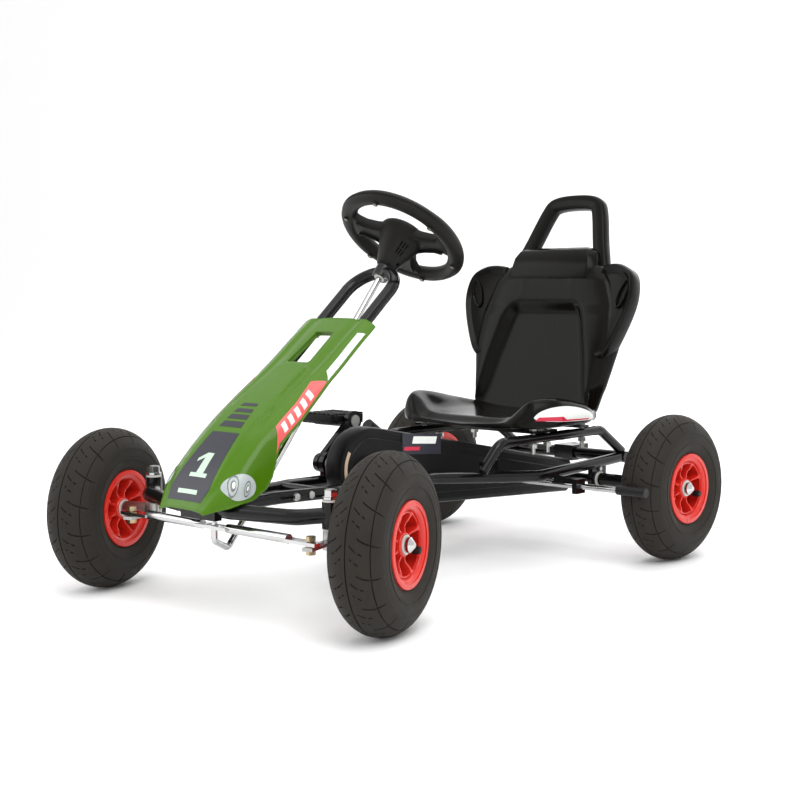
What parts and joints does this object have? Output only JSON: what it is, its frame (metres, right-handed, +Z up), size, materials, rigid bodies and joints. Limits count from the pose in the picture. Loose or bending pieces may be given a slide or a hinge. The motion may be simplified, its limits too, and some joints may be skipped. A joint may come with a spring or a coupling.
{
  "type": "pedal go kart",
  "caption": "Pedal go kart with tubular frame, chain drive, steered front wheels, moulded bucket seat, front fairing and pneumatic tyres.",
  "frame": {"origin": "on the floor under the middle of the kart's box", "axes": "-Y is forward, +X is the kart's left side, +Z is up"},
  "size_m": [0.7218, 1.046, 0.6691],
  "materials": {
    "frame_paint": "gloss black powder coat",
    "green_plastic": "glossy moulded",
    "black_plastic": "satin moulded",
    "seat_plastic": "satin blow moulded",
    "red_plastic": "glossy moulded",
    "tyre_rubber": "moulded tread",
    "tube_rubber": "smooth",
    "zinc_steel": "zinc plated",
    "chrome_steel": "bright plated",
    "chain_steel": "oiled",
    "bush_plastic": "natural nylon",
    "grip_rubber": "moulded"
  },
  "bodies": {
    "chassis": {"main_frame_left": "frame_paint", "main_frame_right": "frame_paint", "front_crossmember": "frame_paint", "rear_crossmember": "frame_paint", "front_beam": "frame_paint", "seat_supports": "frame_paint", "steering_hoop": "frame_paint", "axle_bushes": "bush_plastic", "crank_bushes": "bush_plastic", "steering_bushes": "bush_plastic", "brake_guides": "frame_paint", "frame_bolts": "zinc_steel", "front_fairing": "green_plastic", "fairing_screws": "zinc_steel", "chain_guard_outer": "black_plastic", "chain_guard_inner": "black_plastic", "chain": "chain_steel"},
    "steering": {"steering_column": "chrome_steel", "steering_wheel_rim": "black_plastic", "steering_wheel_hub": "black_plastic", "steering_wheel_screws": "zinc_steel", "column_nut": "zinc_steel"},
    "knuckle_left": {"left_knuckle": "zinc_steel", "left_knuckle_hardware": "zinc_steel"},
    "knuckle_right": {"right_knuckle": "zinc_steel", "right_knuckle_hardware": "zinc_steel"},
    "track_rod": {"tie_rod": "chrome_steel", "tie_rod_bolts": "zinc_steel"},
    "wheel_front_left": {"front_left_tyre": "tyre_rubber", "front_left_tube": "tube_rubber", "front_left_rim": "red_plastic", "front_left_bushes": "bush_plastic"},
    "wheel_front_right": {"front_right_tyre": "tyre_rubber", "front_right_tube": "tube_rubber", "front_right_rim": "red_plastic", "front_right_bushes": "bush_plastic"},
    "axle": {"rear_axle": "frame_paint", "axle_sprocket": "chain_steel", "axle_caps": "chrome_steel", "axle_pin": "zinc_steel", "rear_left_tyre": "tyre_rubber", "rear_left_tube": "tube_rubber", "rear_left_rim": "red_plastic", "rear_left_bushes": "bush_plastic"},
    "wheel_rear_right": {"rear_right_tyre": "tyre_rubber", "rear_right_tube": "tube_rubber", "rear_right_rim": "red_plastic", "rear_right_bushes": "bush_plastic"},
    "crank": {"crankshaft": "frame_paint", "chainring": "chain_steel", "pedal_spindles": "zinc_steel"},
    "pedal_left": {"left_pedal": "black_plastic"},
    "pedal_right": {"right_pedal": "black_plastic"},
    "brake": {"brake_bar": "chrome_steel", "brake_tips": "grip_rubber", "brake_grip": "grip_rubber"},
    "seat": {"seat_base": "seat_plastic", "seat_back": "seat_plastic", "seat_rails": "frame_paint", "seat_screws": "zinc_steel"}
  },
  "joints": [
    {"name": "steering_turn", "type": "hinge", "parent": "chassis", "child": "steering", "pos_m": [0, -0.382, 0.096], "axis": [0, 0.6252, 0.7804], "range_deg": [-52, 10]},
    {"name": "left_kingpin", "type": "hinge", "parent": "chassis", "child": "knuckle_left", "pos_m": [0.207, -0.364, 0.13], "axis": [0, 0, 1], "range_deg": [-48, 9.6]},
    {"name": "right_kingpin", "type": "hinge", "parent": "chassis", "child": "knuckle_right", "pos_m": [-0.207, -0.364, 0.13], "axis": [0, 0, 1], "range_deg": [-48, 9.6]},
    {"name": "tie_rod_joint", "type": "hinge", "parent": "knuckle_left", "child": "track_rod", "pos_m": [0.22683, -0.42063, 0.132], "axis": [0, 0, 1], "range_deg": [-9.6, 48]},
    {"name": "front_left_spin", "type": "hinge", "parent": "knuckle_left", "child": "wheel_front_left", "pos_m": [0.28911, -0.33525, 0.13], "axis": [0.9438, 0.3305, 0], "continuous": true},
    {"name": "front_right_spin", "type": "hinge", "parent": "knuckle_right", "child": "wheel_front_right", "pos_m": [-0.28911, -0.39276, 0.13], "axis": [0.9438, 0.3305, 0], "continuous": true},
    {"name": "axle_spin", "type": "hinge", "parent": "chassis", "child": "axle", "pos_m": [0, 0.388, 0.13], "axis": [1, 0, 0], "continuous": true},
    {"name": "rear_right_spin", "type": "hinge", "parent": "axle", "child": "wheel_rear_right", "pos_m": [-0.296, 0.388, 0.13], "axis": [1, 0, 0], "continuous": true},
    {"name": "crank_spin", "type": "hinge", "parent": "chassis", "child": "crank", "pos_m": [0, -0.12157, 0.194], "axis": [1, 0, 0], "continuous": true},
    {"name": "left_pedal_spin", "type": "hinge", "parent": "crank", "child": "pedal_left", "pos_m": [0.073, -0.1944, 0.12843], "axis": [1, 0, 0], "continuous": true},
    {"name": "right_pedal_spin", "type": "hinge", "parent": "crank", "child": "pedal_right", "pos_m": [-0.073, -0.04874, 0.25958], "axis": [1, 0, 0], "continuous": true},
    {"name": "brake_lever", "type": "hinge", "parent": "chassis", "child": "brake", "pos_m": [0, 0.2504, 0.1365], "axis": [-1, 0, 0], "range_deg": [0, 25]},
    {"name": "seat_slide", "type": "slide", "parent": "chassis", "child": "seat", "axis": [0, 1, 0], "range_m": [-0.034, 0.034]}
  ],
  "couplings": [
    {"joint": "left_kingpin", "follows": "steering_turn", "ratio": 0.9132},
    {"joint": "right_kingpin", "follows": "steering_turn", "ratio": 0.9132},
    {"joint": "tie_rod_joint", "follows": "steering_turn", "ratio": -0.9132},
    {"joint": "crank_spin", "follows": "axle_spin", "ratio": 0.46154},
    {"joint": "left_pedal_spin", "follows": "axle_spin", "ratio": -0.46154},
    {"joint": "right_pedal_spin", "follows": "axle_spin", "ratio": -0.46154}
  ]
}
